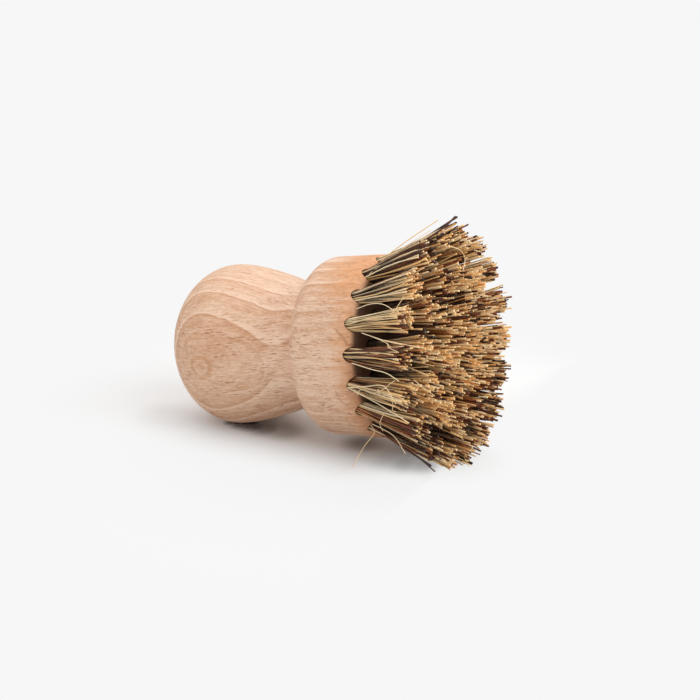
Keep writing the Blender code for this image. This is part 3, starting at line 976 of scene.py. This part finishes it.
def make_floor(stage):
    """Paper that shows the shadow near the brush, with painted shadow spots under and beside the brush, and
    fades to even white in front of it and all round.
    """
    floor = Finish("floor_paper", {"Roughness": 0.9, "Specular IOR Level": 0.0, "Emission Strength": 1.0})
    place = floor.divided(floor.object_place(), (MM, MM, MM))
    across, away, _ = floor.split(place)
    in_front = ((across - 15.0).larger(0.0) * 0.6 - away).fade(4.0, 30.0)
    beside = across.fade(27.0, 41.0)
    far = floor.away_from(place, (0.0, 0.0, 0.0)).fade(55.0, 100.0)
    # Painted shadows under and beside the brush, mixed towards the contact colour
    spots = [
        (1 - floor.away_from(place, (x, y, 0.0)).fade(inner, outer)) * strength
        for x, y, inner, outer, strength in CONTACT_SHADOWS
    ]
    painted_shadow = functools.reduce(Wire.larger, spots)
    white = (in_front * FRONT_WHITENESS).larger(beside).larger(far) * (1 - painted_shadow)
    seen = floor.add("ShaderNodeLightPath", output="Is Camera Ray")
    paper = floor.mix(white, floor.mix(painted_shadow, tuple(stage.floor), tuple(stage.contact)), BLACK)
    tint = floor.mix(seen, tuple(value * stage.bounce for value in stage.floor), paper)
    glow = floor.mix(white * seen, BLACK, tuple(stage.backdrop))
    bm = bmesh.new()
    bmesh.ops.create_grid(bm, x_segments=1, y_segments=1, size=FLOOR_SIZE)
    sheet = piece_from(bm, "floor", floor.finish({"Base Color": tint, "Emission Color": glow}), smooth=False)


def make_sun(name, energy, softness, stage, nearer, rightwards, height=1.0):
    """Wide soft sun. It stands above the brush, shifted towards the camera and to its right."""
    right, _, back = view_axes(stage)
    level_back = Vector((back.x, back.y, 0.0)).normalized()
    sun = bpy.data.lights.new(name, "SUN")
    sun.energy = energy
    sun.angle = softness
    way = Vector((0.0, 0.0, height)) + level_back * nearer + right * rightwards
    in_scene(name, sun).matrix_world = turn_to(way)


# Where the close light stands from the tips, in the camera's axes
CLOSE_UP, CLOSE_RIGHT, CLOSE_BACK = 0.7, 0.8, 0.3


def make_close_light(stage, handle, bristles):
    """Soft light near the tips, from above and to the right of the camera's line of sight."""
    tips = BRUSH @ Vector((0, 0, head_front(handle) + bristles.tuft_length))
    right, up, back = view_axes(stage)
    way = (up * CLOSE_UP + right * CLOSE_RIGHT + back * CLOSE_BACK).normalized()
    area = bpy.data.lights.new("close", "AREA")
    area.energy = stage.close
    area.size = stage.close_size
    lamp = in_scene("close", area)
    lamp.visible_camera = False
    lamp.matrix_world = Matrix.Translation(tips + way * stage.close_away) @ turn_to(way)


def make_lights(stage):
    """Even light from all round and three wide suns. The camera sees the backdrop's white instead."""
    world = bpy.data.worlds.new("studio")
    world.use_nodes = True
    bpy.context.scene.world = world
    tree = world.node_tree
    even = tree.nodes["Background"]
    even.inputs["Color"].default_value = (1.0, 1.0, 1.0, 1.0)
    even.inputs["Strength"].default_value = stage.fill
    seen = tree.nodes.new("ShaderNodeBackground")
    seen.inputs["Color"].default_value = (*stage.backdrop, 1.0)
    rays = tree.nodes.new("ShaderNodeLightPath")
    both = tree.nodes.new("ShaderNodeMixShader")
    tree.links.new(rays.outputs["Is Camera Ray"], both.inputs[0])
    tree.links.new(even.outputs[0], both.inputs[1])
    tree.links.new(seen.outputs[0], both.inputs[2])
    tree.links.new(both.outputs[0], tree.nodes["World Output"].inputs["Surface"])
    make_sun("key", stage.key, stage.key_softness, stage, nearer=-0.6, rightwards=0.12)
    make_sun("front", stage.front, stage.front_softness, stage, nearer=0.7, rightwards=-0.7)
    make_sun("side", stage.side, stage.side_softness, stage, nearer=0.6, rightwards=0.8, height=0.8)


class POTBRUSH_OT_stage(bpy.types.Operator):
    """Set the camera, the pale floor and the soft light"""

    bl_idname = "potbrush.stage"
    bl_label = "Stage"

    def execute(self, context):
        stage = context.scene.pot_brush_stage
        make_camera(stage, context.scene.pot_brush_handle)
        make_floor(stage)
        make_lights(stage)
        make_close_light(stage, context.scene.pot_brush_handle, context.scene.pot_brush_bristles)
        context.scene.view_settings.view_transform = "Standard"
        return {"FINISHED"}


class POTBRUSH_PT_panel(bpy.types.Panel):
    """Lists the brush's steps and sizes"""

    bl_idname = "POTBRUSH_PT_panel"
    bl_label = "Pot brush"
    bl_space_type = "VIEW_3D"
    bl_region_type = "UI"
    bl_category = "Pot brush"

    def draw(self, context):
        column = self.layout.column()
        for group, steps in PANEL_ROWS:
            settings = getattr(context.scene, group)
            for name in settings.__annotations__:
                column.prop(settings, name)
            for step in steps:
                column.operator(step)


PANEL_ROWS = (
    ("pot_brush_stage", ("potbrush.stage",)),
    ("pot_brush_handle", ("potbrush.handle",)),
    ("pot_brush_bristles", ("potbrush.tufts", "potbrush.anchors")),
)
GROUPS = {
    "pot_brush_stage": PotBrushStage,
    "pot_brush_handle": PotBrushHandle,
    "pot_brush_bristles": PotBrushBristles,
}
PARTS = (POTBRUSH_OT_stage, POTBRUSH_OT_handle, POTBRUSH_OT_tufts, POTBRUSH_OT_anchors, POTBRUSH_PT_panel)


def register():
    for part in (*GROUPS.values(), *PARTS):
        bpy.utils.register_class(part)
    for name, group in GROUPS.items():
        setattr(bpy.types.Scene, name, bpy.props.PointerProperty(type=group))


def unregister():
    for name in GROUPS:
        delattr(bpy.types.Scene, name)
    for part in reversed((*GROUPS.values(), *PARTS)):
        bpy.utils.unregister_class(part)


def main():
    register()
    bpy.ops.potbrush.stage()
    bpy.ops.potbrush.handle()
    bpy.ops.potbrush.tufts()
    bpy.ops.potbrush.anchors()


if __name__ == "__main__":
    main()
